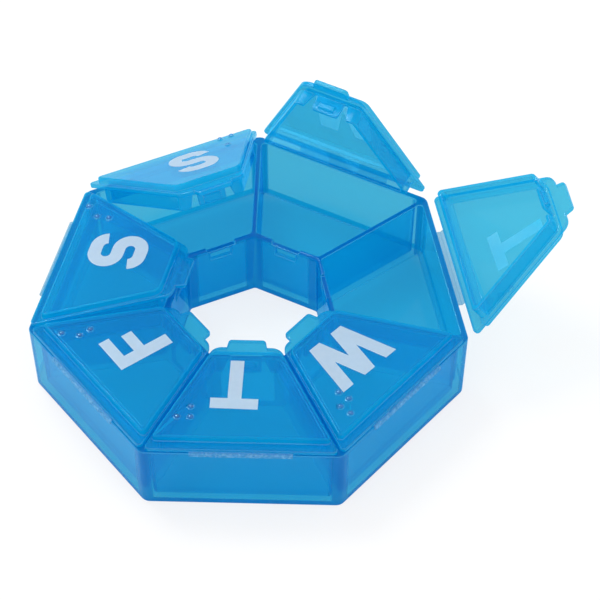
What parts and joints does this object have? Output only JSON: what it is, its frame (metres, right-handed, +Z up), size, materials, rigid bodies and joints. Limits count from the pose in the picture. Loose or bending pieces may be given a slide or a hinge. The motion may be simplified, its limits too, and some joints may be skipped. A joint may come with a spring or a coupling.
{
  "type": "weekly pill organizer",
  "caption": "Seven-sided translucent blue ring tray of wedge pill compartments with hinged snap lids, printed day initials and raised braille dots, some lids open",
  "frame": {"origin": "centre of the tray's underside, on the plane it rests on", "axes": "+Z up out of the compartments, -Y towards the middle of the front compartment (Thursday), +X to its right"},
  "size_m": [0.1248, 0.1003, 0.0514],
  "materials": {
    "blue_plastic": "clear tinted moulded polypropylene, glossy",
    "hinge_plastic": "thin hinge web, whitened by bending",
    "print_ink": "pale printed ink film"
  },
  "bodies": {
    "tray": {"tray": "blue_plastic", "hinge_thursday": "hinge_plastic", "hinge_wednesday": "hinge_plastic", "hinge_tuesday": "hinge_plastic", "hinge_monday": "hinge_plastic", "hinge_sunday": "hinge_plastic", "hinge_saturday": "hinge_plastic", "hinge_friday": "hinge_plastic"},
    "lid_thursday": {"lid_thursday": "blue_plastic", "initial_thursday": "print_ink"},
    "lid_wednesday": {"lid_wednesday": "blue_plastic", "initial_wednesday": "print_ink"},
    "lid_tuesday": {"lid_tuesday": "blue_plastic", "initial_tuesday": "print_ink"},
    "lid_monday": {"lid_monday": "blue_plastic", "initial_monday": "print_ink"},
    "lid_sunday": {"lid_sunday": "blue_plastic", "initial_sunday": "print_ink"},
    "lid_saturday": {"lid_saturday": "blue_plastic", "initial_saturday": "print_ink"},
    "lid_friday": {"lid_friday": "blue_plastic", "initial_friday": "print_ink"}
  },
  "joints": [
    {"name": "lid_hinge_thursday", "type": "hinge", "parent": "tray", "child": "lid_thursday", "pos_m": [0, -0.04745, 0.01865], "axis": [1, 0, 0], "range_deg": [0, 180], "deforming": ["hinge_thursday"]},
    {"name": "lid_hinge_wednesday", "type": "hinge", "parent": "tray", "child": "lid_wednesday", "pos_m": [0.0371, -0.02958, 0.01865], "axis": [0.6235, 0.7818, 0], "range_deg": [0, 180], "deforming": ["hinge_wednesday"]},
    {"name": "lid_hinge_tuesday", "type": "hinge", "parent": "tray", "child": "lid_tuesday", "pos_m": [0.04626, 0.01056, 0.01865], "axis": [-0.2225, 0.9749, 0], "range_deg": [-145, 35], "deforming": ["hinge_tuesday"]},
    {"name": "lid_hinge_monday", "type": "hinge", "parent": "tray", "child": "lid_monday", "pos_m": [0.02059, 0.04275, 0.01865], "axis": [-0.901, 0.4339, 0], "range_deg": [-77.3, 102.7], "deforming": ["hinge_monday"]},
    {"name": "lid_hinge_sunday", "type": "hinge", "parent": "tray", "child": "lid_sunday", "pos_m": [-0.02102, 0.04365, 0.0184], "axis": [-0.901, -0.4339, 0], "range_deg": [-30.4, 149.6], "deforming": ["hinge_sunday"]},
    {"name": "lid_hinge_saturday", "type": "hinge", "parent": "tray", "child": "lid_saturday", "pos_m": [-0.04626, 0.01056, 0.01865], "axis": [-0.2225, -0.9749, 0], "range_deg": [-6, 174], "deforming": ["hinge_saturday"]},
    {"name": "lid_hinge_friday", "type": "hinge", "parent": "tray", "child": "lid_friday", "pos_m": [-0.0371, -0.02958, 0.01865], "axis": [0.6235, -0.7818, 0], "range_deg": [0, 180], "deforming": ["hinge_friday"]}
  ]
}
